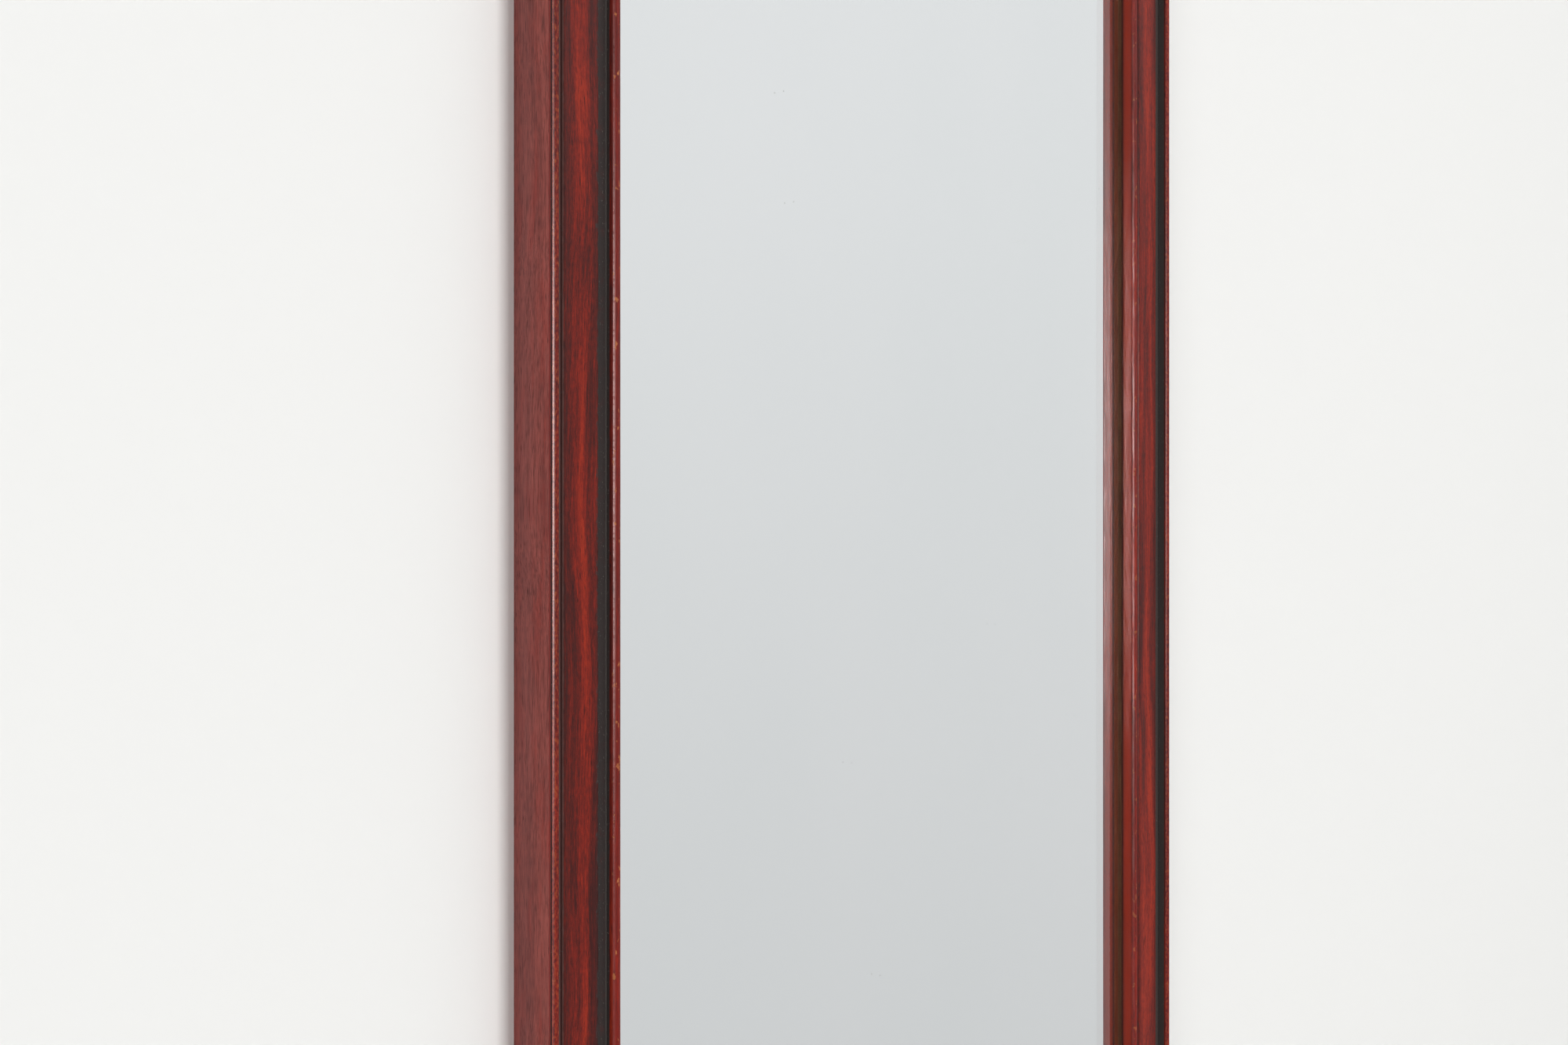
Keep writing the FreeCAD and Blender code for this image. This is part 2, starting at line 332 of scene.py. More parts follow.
def wearBeads(n, w, stain):  # the lip, and the beads rubbed through in places
    across, height = w.across, w.height
    below = 1 - n.ease(height, mm["innerBead"] - 0.4, mm["innerBead"] + 0.6)
    stain = n.blend(w.lip * below * 0.75, stain, woodLook["lip"])
    crest = n.ease(height, mm["innerBead"] + 0.5, mm["innerBead"] + 1.1) * w.innerBead
    # partly the beads' own red, partly painted highlight: brightened on the outer bead and the inner bead's
    # crest to warm the real highlights there
    stain = n.blend((w.outerBead * 0.28).most(crest * 0.2), stain, woodLook["bead"])
    stain = n.blend(n.ease(w.rubbed, 0.5, 0.66) * w.outerBead * 0.6, stain, woodLook["worn"])
    stain = n.blend(n.ease(w.rubbed, 0.52, 0.36) * w.outerBead * 0.6, stain, woodLook["pore"])
    flecks = n.noise(n.join(across * 0.5, height * 0.5, w.along * 0.3), 3.0, 17.0, 0.6)
    w.chips = n.ease(flecks, 0.6, 0.66) * crest * (w.left * 1.2 + 0.2)
    return n.blend(w.chips, stain, woodLook["chip"])


def glazeQuirks(n, w, stain):  # black glaze in both quirks and the side's groove, wiped thin over the band
    across, height, along, onBand = w.across, w.height, w.along, w.onBand
    waver = (n.noise(n.join(across * 0.25, 0, along * 0.3), 3.0, 8.0) - 0.5) * 1.2
    smear = (n.noise(n.join(across * 0.7, height * 0.7, along * 0.35), 4.0, 18.0, 0.7) - 0.5) * 2
    outerWiped = (1 - n.ease(across - mm["band"] + waver, 0.0, 3.6)) * 0.28 * onBand
    wiped = (1 - n.ease(mm["bandEnd"] - across + smear, 0.0, 2.4)) * w.left * onBand
    crept = n.ease((smear * 5 + 1.6) * w.left - 0.45 - mm["bandEnd"] + across, -0.25, 0.25) * onBand
    inOuter = (across > mm["quirk"] - 0.1) * (across < mm["band"] + 0.6)
    outerTop = mm["bandTop"] - 0.3 + (across < mm["quirk"] + 0.2) * (mm["outerBead"] - mm["bandTop"] + 0.15)
    inInner = (across > mm["bandEnd"] - 0.6) * (across < mm["bead"] + 0.1)
    innerTop = mm["bandTop"] - 1.15 + (across > mm["bead"] - 0.2) * (mm["innerBead"] - mm["bandTop"] + 0.85)
    quirks = (inOuter * (1 - n.ease(height + waver * 0.3 - outerTop, -0.2, 0.2))).most(
        inInner * (1 - n.ease(height + waver * 0.3 - innerTop, -0.2, 0.2)))
    groove = (across > 0.06) * (across < mm["quirk"] / 2) * (height < mm["outerBead"] + 0.38)
    black = quirks.most(crept * 0.85).most(groove * (height > mm["outerBead"] - 0.02))
    specks = n.ease(n.noise(n.join(across * 2.2, height * 2.2, along * 1.8), 1.0, 9.0), 0.67, 0.72)
    # specks of dust, and a paler line along the inner quirk's floor next to the bead
    corner = n.ease(across, mm["bead"] - 0.5, mm["bead"] - 0.15) * (height < mm["innerFloor"] + 0.2)
    specksAndCornerLine = (specks * 0.6).most(corner * (across < mm["bead"] + 0.05) * 0.65) * black
    # painted light: the outer quirk is glazed a lighter black than the inner one, and its floor by the band a
    # grey-brown, standing in for light that the bead shades off
    paintedLightShare = n.ease(across, mm["band"] - 0.6, mm["band"]) * inOuter
    glaze = n.blend(paintedLightShare, n.blend(inOuter, woodLook["black"], woodLook["outerGlazeAndPaintedLight"]), woodLook["quirkPaintedLight"])
    stain = n.blend(outerWiped, stain, woodLook["outerVeil"])
    stain = n.blend(wiped, stain, woodLook["veil"])
    return n.blend(black, stain, n.blend(specksAndCornerLine, glaze, woodLook["dust"]))


def dirtyJoints(n, w, stain):  # dirt and painted shade where the lip meets the glass, and dirt along the mitres
    aboveGlass = w.height - mm["glass"]
    # painted shade: the lip darkens towards the glass, in the crease where it meets the pane, on top of real
    # grime there
    foot = (1 - n.ease(aboveGlass, 0.6, 1.4)).most((1 - n.ease(aboveGlass, 0.3, 2.2)) * 0.35) * w.lip
    toMitre = n.add("ShaderNodeAttribute", {"attribute_name": "mitre"}, {}, "Fac") * 1000
    w.dirt = foot.most(1 - n.ease(toMitre, 0.05, 0.3))
    return n.blend(w.dirt * 0.92, stain, woodLook["grimeAndShade"])


def varnish(n, w):  # shiny in patches on the beads and the lip, satin elsewhere
    across, height, along = w.across, w.height, w.along
    fromBead = across - mm["bead"]
    rubbedLine = n.ease(fromBead, 0.22, 0.38) * n.ease(fromBead, 0.72, 0.5)
    inward = rubbedLine * 0.36 + n.ease(fromBead, 1.6, 2.2) * 0.42 + 0.1
    flank = (across < mm["quirk"] / 2) * n.ease(height, mm["outerBead"] + 1.0, mm["outerBead"] + 0.75)
    glossy = (w.outerBead * (flank * 0.88 + 0.12)).most(w.innerBead * inward).most(w.lip * 0.33)
    cloud = n.noise(n.join(across * 0.6, height * 0.6, along * 0.08), 3.0, 11.0)
    rough = 0.5 + (cloud - 0.5) * 0.25 + w.pores * 0.1 + w.chips * 0.2
    brushed = n.noise(n.join(across * 1.5 + along * 0.05, height * 1.5, along * 0.07), 4.0, 19.0, 0.7)
    patchy = n.ease(w.rubbed, 0.3, 0.42) * 0.75 + 0.25
    sightSide = (fromBead > 1.8) * (height > mm["glass"])
    patchy = patchy * (1 - sightSide * (1 - n.ease(brushed, 0.4, 0.62)) * 0.85)
    dashes = n.noise(n.join(0, 0, along * 0.7), 4.0, 23.0, 0.7)
    patchy = patchy * (1 - w.innerBead * (1 - sightSide) * (1 - n.ease(dashes, 0.38, 0.55)) * 0.8)
    satin = 0.13 + w.onSide * 0.12 - w.onBand * n.ease(across - mm["band"], 1.2, 0.8) * 0.13
    coat = (glossy * patchy).most(satin) * (1 - w.chips * 0.7) * (1 - w.dirt)
    peel = n.noise(n.join(across * 1.5, height * 1.5, along * 0.9), 3.0, 12.0, 0.6)
    relief = (w.fibre - 0.5) * 0.25 - w.pores * 0.6 + (peel - 0.5) * (0.4 + glossy * 0.5) - w.chips * 0.8
    bump = n.add("ShaderNodeBump", {}, {"Strength": 0.4, "Distance": 0.00012, "Height": relief})
    return rough, coat, bump


def makeStainedWood():
    material, n = newFinish("stainedWood")
    w = readWood(n)
    markZones(n, w)
    stain = stainColour(n, w)
    for step in (wearBeads, glazeQuirks, dirtyJoints):
        stain = step(n, w, stain)
    rough, coat, bump = varnish(n, w)
    surface(n, n.add("ShaderNodeBsdfPrincipled", {}, {
        "Base Color": stain, "Roughness": rough, "Specular IOR Level": 0.08,
        "Coat Weight": coat, "Coat Roughness": 0.2, "Normal": bump,
    }))
    return material


rawLook = {
    "pale": colour(226, 190, 146),
    "mid": colour(202, 158, 112),
    "dark": colour(132, 94, 62),
    "smear": colour(116, 44, 30),
    "sealed": colour(152, 108, 78),  # the face of the lip on the glass
    "overrun": colour(150, 72, 45),  # with stain that crept round the sight edge
}


def makeRawWood():
    material, n = newFinish("rawWood")
    w = readWood(n)
    across, height, along = w.across, w.height, w.along
    tone = (w.broad - 0.5) * 1.0 + (w.streak - 0.5) * 0.9 + (w.fibre - 0.5) * 0.6 + 0.5
    wood = n.add("ShaderNodeValToRGB", {"stops": [
        (0.2, rawLook["dark"]), (0.5, rawLook["mid"]), (0.85, rawLook["pale"]),
    ]}, {"Fac": tone})
    wood = n.blend(w.pores * 0.5, wood, rawLook["dark"])
    ragged = n.noise(n.join(across * 0.35, 0, along * 0.06), 3.0, 6.0) * 5
    smear = 1 - n.ease(across - ragged, -1.2, 0.6)  # stain that ran round the outer edge
    wood = n.blend(smear * 0.8, wood, rawLook["smear"])
    onGlass = (across > mm["back"]) * (height > mm["glass"] - 0.05)
    crept = n.ease(across, mm["width"] - 3.2, mm["width"] - 2.2)
    wood = n.blend(onGlass * 0.85, wood, n.blend(crept, rawLook["sealed"], rawLook["overrun"]))
    sawn = n.noise(n.join(across * 0.15, height * 0.3, along * 0.9), 2.0, 10.0)
    relief = (sawn - 0.5) * 0.8 + (w.fibre - 0.5) * 0.5 - w.pores * 0.6
    bump = n.add("ShaderNodeBump", {}, {"Strength": 0.5, "Distance": 0.00015, "Height": relief})
    cloud = n.noise(n.join(across * 0.2, 0, along * 0.05), 2.0, 13.0)
    rough = 0.72 + (cloud - 0.5) * 0.2
    surface(n, n.add("ShaderNodeBsdfPrincipled", {}, {
        "Base Color": wood, "Roughness": rough, "Specular IOR Level": 0.3, "Normal": bump,
    }))
    return material


stainedWood = makeStainedWood()
rawWood = makeRawWood()
print("wood finishes ready")


# moulded members

def arcPoints(centreX, centreY, radius, start, end, steps):
    turns = [math.radians(start + (end - start) * i / steps) for i in range(steps + 1)]
    return [(centreX + radius * math.cos(t), centreY + radius * math.sin(t)) for t in turns]


def sectionPoints():  # x inward from the outer side, y forwards from the wall
    bead, lipBead, edge = section["outerBead"], section["innerBead"], section["bandEdge"]
    cut = math.degrees(math.asin(section["sideQuirkHeight"] / bead))
    grooveHeight = outerBeadCentre + section["sideQuirkHeight"] / 2
    points = [(0, 0), (0, outerBeadCentre), (section["sideQuirkDepth"], grooveHeight)]
    points += arcPoints(bead, outerBeadCentre, bead, 180 - cut, 0, 14)
    points += [(quirkStart, outerFloor), (bandStart, outerFloor)]
    points += arcPoints(bandStart + edge, bandTop - edge, edge, 180, 90, 4)
    points += [(bandStart + section["band"] * share, bandTop) for share in (0.2, 0.5, 0.8)]
    points += arcPoints(bandEnd - edge, bandTop - edge, edge, 90, 0, 4)
    points += [(bandEnd, innerFloor), (beadStart, innerFloor)]
    points += arcPoints(beadStart + lipBead, innerBeadCentre, lipBead, 180, 0, 14)
    points += [(memberWidth, glassFront), (backWidth, glassFront), (backWidth, 0)]
    return points


def makeSectionCurve():
    points = sectionPoints()
    curve = bpy.data.curves.new("section", "CURVE")
    curve.dimensions = "3D"
    spline = curve.splines.new("POLY")
    spline.points.add(len(points) - 1)
    for point, (x, y) in zip(spline.points, points):
        point.co = (x, -y, 0, 1)
    spline.use_cyclic_u = True
    return bpy.data.objects.new("section", curve)


def newTree(name, inputs):
    tree = bpy.data.node_groups.new(name, "GeometryNodeTree")
    for label, kind in inputs.items():
        tree.interface.new_socket(label, in_out="INPUT", socket_type="NodeSocket" + kind)
    tree.interface.new_socket("Geometry", in_out="OUTPUT", socket_type="NodeSocketGeometry")
    n = Nodes(tree)
    labels = tuple(inputs)
    return tree, n, dict(zip(labels, n.add("NodeGroupInput", {}, {}, labels)))


def endTree(n, geometry, material):
    solid = n.add("GeometryNodeRealizeInstances", {}, {"Geometry": geometry})
    done = n.add("GeometryNodeSetMaterial", {}, {"Geometry": solid, "Material": material})
    n.add("NodeGroupOutput", {}, {"Geometry": done})


def grow(tree, values):  # runs a tree once and keeps its plain mesh
    carrier = putInScene(tree.name, bpy.data.meshes.new(tree.name))
    modifier = carrier.modifiers.new(tree.name, "NODES")
    modifier.node_group = tree
    for item in tree.interface.items_tree:
        if item.item_type == "SOCKET" and item.in_out == "INPUT":
            modifier[item.identifier] = values[item.name]
    shown = carrier.evaluated_get(bpy.context.evaluated_depsgraph_get())
    mesh = bpy.data.meshes.new_from_object(shown)
    bpy.data.objects.remove(carrier)
    return mesh


memberLook = {
    "ring": 0.0016,  # along the member
    "wobble": 0.00005,  # unevenness left by hand finishing
    "wobbleLength": 0.045,
    "hairline": 0.00003,  # half of the open line at a mitre
    "weld": 2e-6,  # points nearer than this become one after carving
    "logShift": 2.3,  # along the wood from one member to the next
    "smooth": 32,  # degrees between faces that shade as one
}


def makeMemberTree():
    tree, n, get = newTree("mouldedMember", {
        "Section": "Object", "Length": "Float", "Ring": "Float", "Wobble": "Float", "Wobble Length": "Float",
        "Hairline": "Float", "Seed": "Float", "Stained": "Material",
    })
    half = get["Length"] / 2
    start = n.join(0, 0, half * -1)
    line = n.add("GeometryNodeCurvePrimitiveLine", {}, {"Start": start, "End": n.join(0, 0, half)})
    line = n.add("GeometryNodeResampleCurve", {"mode": "LENGTH"}, {"Curve": line, "Length": get["Ring"]})
    profile = n.add("GeometryNodeObjectInfo", {}, {"Object": get["Section"]}, "Geometry")
    bar = n.add("GeometryNodeCurveToMesh", {}, {"Curve": line, "Profile Curve": profile, "Fill Caps": True})
    x, y, z = n.split(n.add("GeometryNodeInputPosition"))
    mitred = n.join(x, y, z * (half - x - get["Hairline"]) / half)
    bar = n.add("GeometryNodeSetPosition", {}, {"Geometry": bar, "Position": mitred})
    x, y, z = n.split(n.add("GeometryNodeInputPosition"))
    fine = 4 / get["Wobble Length"]
    place = n.join(x * fine, y * fine, z / get["Wobble Length"])
    push = n.noise(place, 2.0, get["Seed"]) * -2 * get["Wobble"] * n.ease(y * -1, glassFront, bandTop)
    normal = n.add("GeometryNodeInputNormal")
    offset = n.add("ShaderNodeVectorMath", {"operation": "SCALE"}, {"Vector": normal, "Scale": push})
    bar = n.add("GeometryNodeSetPosition", {}, {"Geometry": bar, "Offset": offset})
    endTree(n, bar, get["Stained"])
    return tree


def tidyFaces(mesh, near=1e-7):  # outward faces, one skin
    work = bmesh.new()
    work.from_mesh(mesh)
    bmesh.ops.remove_doubles(work, verts=work.verts, dist=near)
    bmesh.ops.dissolve_degenerate(work, edges=work.edges, dist=near)
    bmesh.ops.recalc_face_normals(work, faces=work.faces)
    work.to_mesh(mesh)
    work.free()


def smoothOver(mesh, degrees):
    mesh.polygons.foreach_set("use_smooth", [True] * len(mesh.polygons))
    mesh.set_sharp_from_angle(angle=math.radians(degrees))


def addPiece(name, mesh, slot, *replaced):
    piece = putInScene(name, mesh)
    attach(piece, "root")
    if replaced:
        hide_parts(*replaced)
    return piece


def carve(mesh, cutters):  # cuts other meshes out of a mesh
    body = putInScene("carved", mesh)
    for cutter in cutters:
        modifier = body.modifiers.new("cut", "BOOLEAN")
        modifier.operation = "DIFFERENCE"
        modifier.solver = "MANIFOLD"
        modifier.object = cutter
    carved = bpy.data.meshes.new_from_object(body.evaluated_get(bpy.context.evaluated_depsgraph_get()))
    bpy.data.objects.remove(body)
    return carved


backCuts = {  # in the members, from behind
    "clearance": 0.00015,  # round a plate in its seat
    "pocket": 0.00535,  # radius of the pocket behind the keyhole
    "pocketDepth": 0.006,
    "slotTravel": 0.009,
    "slotEase": 0.00004,  # round a corner fastener
    "overrun": 0.001,
}


def slotPrism(name, x, radius, low, high, front):  # upright, with round ends, from the back to a depth
    top = [(x + a, high + b) for a, b in arcPoints(0, 0, radius, 0, 180, 24)]
    bottom = [(x + a, low + b) for a, b in arcPoints(0, 0, radius, 180, 360, 24)]
    work = bmesh.new()
    ring = [work.verts.new((px, backCuts["overrun"], pz)) for px, pz in top + bottom]
    face = work.faces.new(ring)
    grown = bmesh.ops.extrude_face_region(work, geom=[face])
    moved = [item for item in grown["geom"] if isinstance(item, bmesh.types.BMVert)]
    bmesh.ops.translate(work, verts=moved, vec=(0, -front - backCuts["overrun"], 0))
    bmesh.ops.recalc_face_normals(work, faces=work.faces)
    return putInScene(name, toMesh(name, work))


def plateCutters(side):
    low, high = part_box(side + "_keyhole_plate")
    middle = (low[0] + high[0]) / 2
    radius = (high[0] - low[0]) / 2
    thickness = high[1] - low[1]
    seatRadius = radius + backCuts["clearance"]
    seat = slotPrism("seat", middle, seatRadius, low[2] + radius, high[2] - radius, thickness)
    depth = thickness + backCuts["pocketDepth"]
    pocket = slotPrism("pocket", middle, backCuts["pocket"], 0, backCuts["slotTravel"], depth)
    return [seat, pocket]


def cadCopy(node):  # merged copy of a CAD piece, without the normals it came with
    mesh = nodes[node].data.copy()
    if "custom_normal" in mesh.attributes:
        mesh.attributes.remove(mesh.attributes["custom_normal"])
    work = bmesh.new()
    work.from_mesh(mesh)
    bpy.data.meshes.remove(mesh)
    bmesh.ops.remove_doubles(work, verts=work.verts, dist=samePoint)
    return work


def fastenerCutter(node):  # slot of a corner fastener, open at the back
    work = cadCopy(node)
    bmesh.ops.recalc_face_normals(work, faces=work.faces)
    work.normal_update()
    ease = backCuts["slotEase"]
    for vert in work.verts:
        vert.co += vert.normal * ease
    for vert in work.verts:
        if vert.co.y > -2 * ease:
            vert.co.y = backCuts["overrun"]
    return putInScene("slot", toMesh("slot", work))


outerLow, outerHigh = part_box("left_stile")
frameWidth = 2 * -outerLow[0]
frameHeight = outerHigh[2] - outerLow[2]
middleHeight = (outerHigh[2] + outerLow[2]) / 2
members = {  # turn about Y, length and width between outer sides, glaze left by hand, CAD node
    "leftStile": (0, frameHeight, frameWidth, 0.65, "left_stile"),
    "topRail": (90, frameWidth, frameHeight, 0.5, "top_rail"),
    "rightStile": (180, frameHeight, frameWidth, 0.2, "right_stile"),
    "bottomRail": (270, frameWidth, frameHeight, 0.5, "bottom_rail"),
}


def rawFaces(mesh):  # bare wood behind: the back, the rebate and the mitred ends
    mesh.materials.append(rawWood)
    tiny = 0.0001
    for face in mesh.polygons:
        x, y, z = face.center
        behind = face.normal.y > 0.5
        inRebate = x < memberWidth - tiny and face.normal.x > 0.5 and -y < glassFront
        pocketed = backWidth - tiny > x > tiny and -y < outerFloor - tiny and abs(face.normal.y) < 0.5
        if behind or inRebate or pocketed or abs(face.normal.z) > 0.5:
            face.material_index = len(mesh.materials) - 1


def writeGrain(mesh, length, seed, glaze):  # where each point lies in its member, for the wood
    count = len(mesh.vertices)
    places = np.empty(count * 3, np.float32)
    mesh.vertices.foreach_get("co", places)
    places = places.reshape(count, 3)
    along = places[:, 2] + memberLook["logShift"] * seed
    layers = {
        "grain": ("FLOAT_VECTOR", "vector", np.stack([places[:, 0], -places[:, 1], along], axis=1).ravel()),
        "mitre": ("FLOAT", "value", length / 2 - places[:, 0] - np.abs(places[:, 2])),
        "glaze": ("FLOAT", "value", np.full(count, glaze, np.float32)),
    }
    for name, (kind, field, values) in layers.items():
        mesh.attributes.new(name, kind, "POINT").data.foreach_set(field, values)


def makeMembers():
    tree = makeMemberTree()
    sectionCurve = makeSectionCurve()
    for seed, (name, (turn, length, width, glaze, node)) in enumerate(members.items(), 1):
        mesh = grow(tree, {
            "Section": sectionCurve, "Length": length, "Ring": memberLook["ring"],
            "Wobble": memberLook["wobble"], "Wobble Length": memberLook["wobbleLength"],
            "Hairline": memberLook["hairline"], "Seed": float(seed), "Stained": stainedWood,
        })
        tidyFaces(mesh)
        place = Matrix.Translation((0, 0, middleHeight)) @ Matrix.Rotation(math.radians(turn), 4, "Y")
        place = place @ Matrix.Translation((-width / 2, 0, 0))
        side = node.split("_")[0]
        cutters = [fastenerCutter(corner) for corner in nodes if "fastener" in corner and side in corner]
        if node.endswith("stile"):
            cutters += plateCutters(side)
        mesh.transform(place)
        mesh = carve(mesh, cutters)
        tidyFaces(mesh, memberLook["weld"])
        mesh.transform(place.inverted())
        for cutter in cutters:
            bpy.data.objects.remove(cutter)
        rawFaces(mesh)
        writeGrain(mesh, length, seed, glaze)
        smoothOver(mesh, memberLook["smooth"])
        mesh.transform(place)
        mesh.name = name
        addPiece(name, mesh, "stained_wood", node)
    bpy.data.objects.remove(sectionCurve)


makeMembers()
print("frame members moulded")


# mirror pane

paneLook = {
    "gap": 0.00008,  # between the lip and the glass
    "paperGap": 0.00004,  # between the silver and the paper behind it
    "arris": 0.0004,
    "glass": colour(250, 252, 252),
    "speck": colour(150, 148, 142),
    "silver": colour(246, 247, 248),
    "cloud": colour(243, 245, 246),
    "specks": 9,  # cells to a metre, with a speck of dust in each
    "speckRadius": (0.0014, 0.0024),  # core and edge, in cells
    "ior": 1.52,
    "silverRough": 0.004,
}


def makeGlass():
    material, n = newFinish("floatGlass")
    x, y, z = n.split(n.add("ShaderNodeTexCoord", {}, {}, "Object"))
    flat = n.join(x * paneLook["specks"], z * paneLook["specks"], 0)
    near = n.add("ShaderNodeTexVoronoi", {"voronoi_dimensions": "2D"},
                 {"Vector": flat, "Scale": 1.0}, "Distance")
    speck = 1 - n.ease(near, *paneLook["speckRadius"])
    tint = n.blend(speck, paneLook["glass"], paneLook["speck"])
    surface(n, n.add("ShaderNodeBsdfPrincipled", {}, {
        "Base Color": tint, "Roughness": 0.0, "IOR": paneLook["ior"], "Transmission Weight": 1.0,
    }))
    return material


def makeSilver():
    material, n = newFinish("mirrorSilver")
    place = n.add("ShaderNodeTexCoord", {}, {}, "Object")
    cloud = n.noise(n.scaled(place, (6, 6, 4)), 3.0, 2.0)
    shade = n.blend(n.ease(cloud, 0.3, 0.7), paneLook["silver"], paneLook["cloud"])
    surface(n, n.add("ShaderNodeBsdfPrincipled", {}, {
        "Base Color": shade, "Metallic": 1.0, "Roughness": paneLook["silverRough"],
    }))
    return material


def slab(low, high, arris):
    work = bmesh.new()
    bmesh.ops.create_cube(work, size=1.0)
    low, high = Vector(low), Vector(high)
    place = Matrix.Translation((low + high) / 2) @ Matrix.Diagonal((*(high - low), 1))
    bmesh.ops.transform(work, matrix=place, verts=work.verts)
    bmesh.ops.bevel(work, geom=work.edges[:], offset=arris, segments=2, profile=0.5, affect="EDGES")
    return toMesh("slab", work)


def makePane():
    low = Vector(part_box("mirror_glass")[0]) + Vector((0, paneLook["gap"], 0))
    high = Vector(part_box("silver_coat")[1]) - Vector((0, paneLook["paperGap"], 0))
    mesh = slab(low, high, paneLook["arris"])
    mesh.materials.append(makeGlass())
    mesh.materials.append(makeSilver())
    for face in mesh.polygons:
        face.material_index = 1 if face.normal.y > 0.99 else 0
    mesh.name = "mirrorPane"
    addPiece("mirrorPane", mesh, "float_glass", "mirror_glass", "silver_coat")


makePane()
print("mirror pane set")


# back of the mirror

boardLook = {
    "arris": 0.0004,
    "mesh": 0.0013,  # pitch of the wire mesh pressed into the board
    "light": colour(139, 100, 66),
    "dark": colour(88, 58, 36),
}


def makeHardboard():
    material, n = newFinish("brownHardboard")
    place = n.add("ShaderNodeTexCoord", {}, {}, "Object")
    x, y, z = n.split(place)
    turn = 2 * math.pi / boardLook["mesh"]
    warp = (n.noise(n.scaled(place, (90, 90, 90)), 1.0, 1.0) - 0.5) * 1.6
    weave = (x * turn + warp).wave() * (z * turn - warp).wave() * 0.5 + 0.5
    fibre = n.noise(n.scaled(place, (900, 900, 900)), 3.0, 2.0, 0.6)
    patch = n.noise(n.scaled(place, (14, 14, 9)), 4.0, 3.0)
    tone = fibre * 0.55 + patch * 0.5 + weave * 0.25 - 0.15
    shade = n.blend(n.ease(tone, 0.2, 0.85), boardLook["dark"], boardLook["light"])
    bump = n.add("ShaderNodeBump", {}, {"Strength": 0.6, "Distance": 0.0002, "Height": weave + fibre * 0.5})
    surface(n, n.add("ShaderNodeBsdfPrincipled", {}, {
        "Base Color": shade, "Roughness": 0.62 + patch * 0.25, "Specular IOR Level": 0.3, "Normal": bump,
    }))
    return material


metalLooks = {
    "brightSteel": {"base": colour(168, 168, 170), "worn": colour(112, 108, 104), "rough": 0.34},
    "dullBrass": {"base": colour(206, 170, 104), "worn": colour(140, 104, 60), "rough": 0.3},
}


def makeMetal(name):
    look = metalLooks[name]
    material, n = newFinish(name)
    place = n.add("ShaderNodeTexCoord", {}, {}, "Object")
    tarnish = n.noise(n.scaled(place, (220, 220, 220)), 4.0, 1.0, 0.6)
    scratch = n.noise(n.scaled(place, (2600, 2600, 180)), 2.0, 2.0)
    share = n.ease(tarnish, 0.42, 0.72)
    shade = n.blend(share, look["base"], look["worn"])
    bump = n.add("ShaderNodeBump", {}, {"Strength": 0.2, "Distance": 0.00005, "Height": scratch + tarnish})
    rough = look["rough"] + share * 0.25 + (scratch - 0.5) * 0.15
    surface(n, n.add("ShaderNodeBsdfPrincipled", {}, {
        "Base Color": shade, "Metallic": 1.0, "Roughness": rough, "Normal": bump,
    }))
    return material


fillLooks = {
    "kraftPaper": {"light": colour(186, 150, 106), "dark": colour(150, 116, 78), "grain": 700},
    "fineCork": {"light": colour(196, 152, 102), "dark": colour(124, 84, 50), "grain": 1400},
}


def makeFill(name):
    look = fillLooks[name]
    material, n = newFinish(name)
    place = n.add("ShaderNodeTexCoord", {}, {}, "Object")
    speckle = n.noise(n.scaled(place, (look["grain"],) * 3), 3.0, 1.0, 0.6)
    shade = n.blend(n.ease(speckle, 0.3, 0.7), look["dark"], look["light"])
    bump = n.add("ShaderNodeBump", {}, {"Strength": 0.3, "Distance": 0.0001, "Height": speckle})
    surface(n, n.add("ShaderNodeBsdfPrincipled", {}, {
        "Base Color": shade, "Roughness": 0.75 + speckle * 0.15, "Specular IOR Level": 0.25, "Normal": bump,
    }))
    return material


finishes = {name: makeMetal(name) for name in metalLooks} | {name: makeFill(name) for name in fillLooks}

boardMesh = slab(*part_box("backing_board"), boardLook["arris"])
boardMesh.materials.append(makeHardboard())
boardMesh.name = "backingBoard"
addPiece("backingBoard", boardMesh, "hardboard", "backing_board")
print("backing board laid in")

bradLook = {
    "radius": 0.0006,
    "grip": 0.009,  # in the wood
    "free": 0.007,  # over the board
    "tip": 0.0016,
    "head": 0.0009,
    "headThickness": 0.0005,
    "boardGap": 0.001,  # from the board to the rebate wall
    "lean": 1.2,  # degrees, away from the board
    "stileCount": 5,  # below a plate
    "railCount": 2,
    "sides": 20,
    "smooth": 40,  # degrees
}


def bradShape():  # turned about X, with its head over the board
    b = bradLook
    neck = b["free"] - b["headThickness"]
    outline = [
        (-b["grip"], 0), (b["tip"] - b["grip"], b["radius"]), (neck, b["radius"]), (neck, b["head"] * 0.9),
        (neck + b["headThickness"] * 0.3, b["head"]), (b["free"] - b["headThickness"] * 0.25, b["head"]),
        (b["free"], b["head"] * 0.8), (b["free"], 0),
    ]
    work = bmesh.new()
    line = [work.verts.new((x, 0, r)) for x, r in outline]
    edges = [work.edges.new(pair) for pair in zip(line, line[1:])]
    bmesh.ops.spin(
        work, geom=line + edges, cent=(0, 0, 0), axis=(1, 0, 0), angle=2 * math.pi, steps=b["sides"],
    )
    bmesh.ops.remove_doubles(work, verts=work.verts, dist=samePoint)
    bmesh.ops.recalc_face_normals(work, faces=work.faces)
    return bpy.data.objects.new("brad", toMesh("brad", work))


